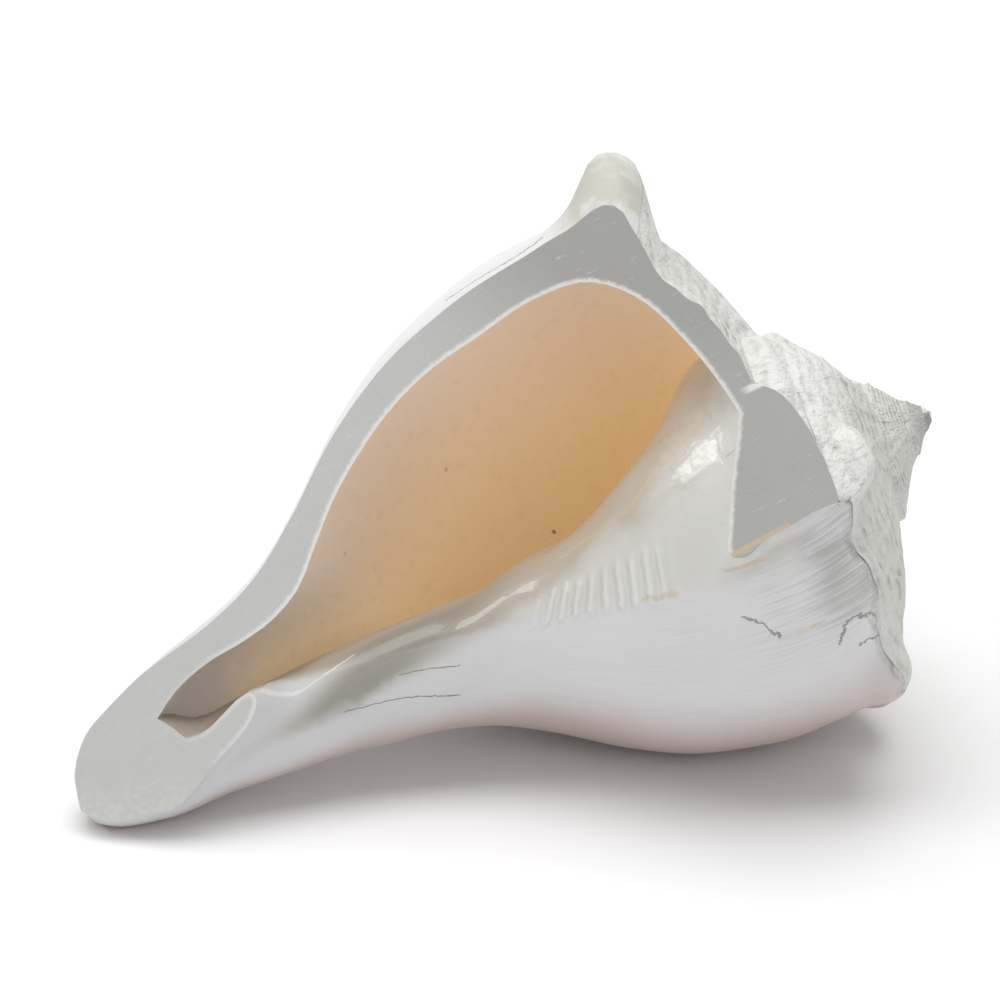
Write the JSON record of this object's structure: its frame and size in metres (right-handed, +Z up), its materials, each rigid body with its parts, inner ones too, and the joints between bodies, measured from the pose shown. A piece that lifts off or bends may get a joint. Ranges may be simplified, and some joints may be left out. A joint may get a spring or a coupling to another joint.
{
  "type": "conch shell",
  "caption": "Left-handed spiral sea shell with a ground flat outer lip, a wide smooth hollow and a long siphonal canal.",
  "frame": {"origin": "on the resting surface, under the middle of the shell's bounding box", "axes": "+Z up with the shell lying on the back of its body whorl and its canal; +X level along the coiling axis, from the canal towards the apex; the aperture faces -Y and up"},
  "size_m": [0.15, 0.092, 0.104],
  "materials": {
    "shell": "polished"
  },
  "bodies": {
    "root": {"shell": "shell"}
  },
  "joints": []
}
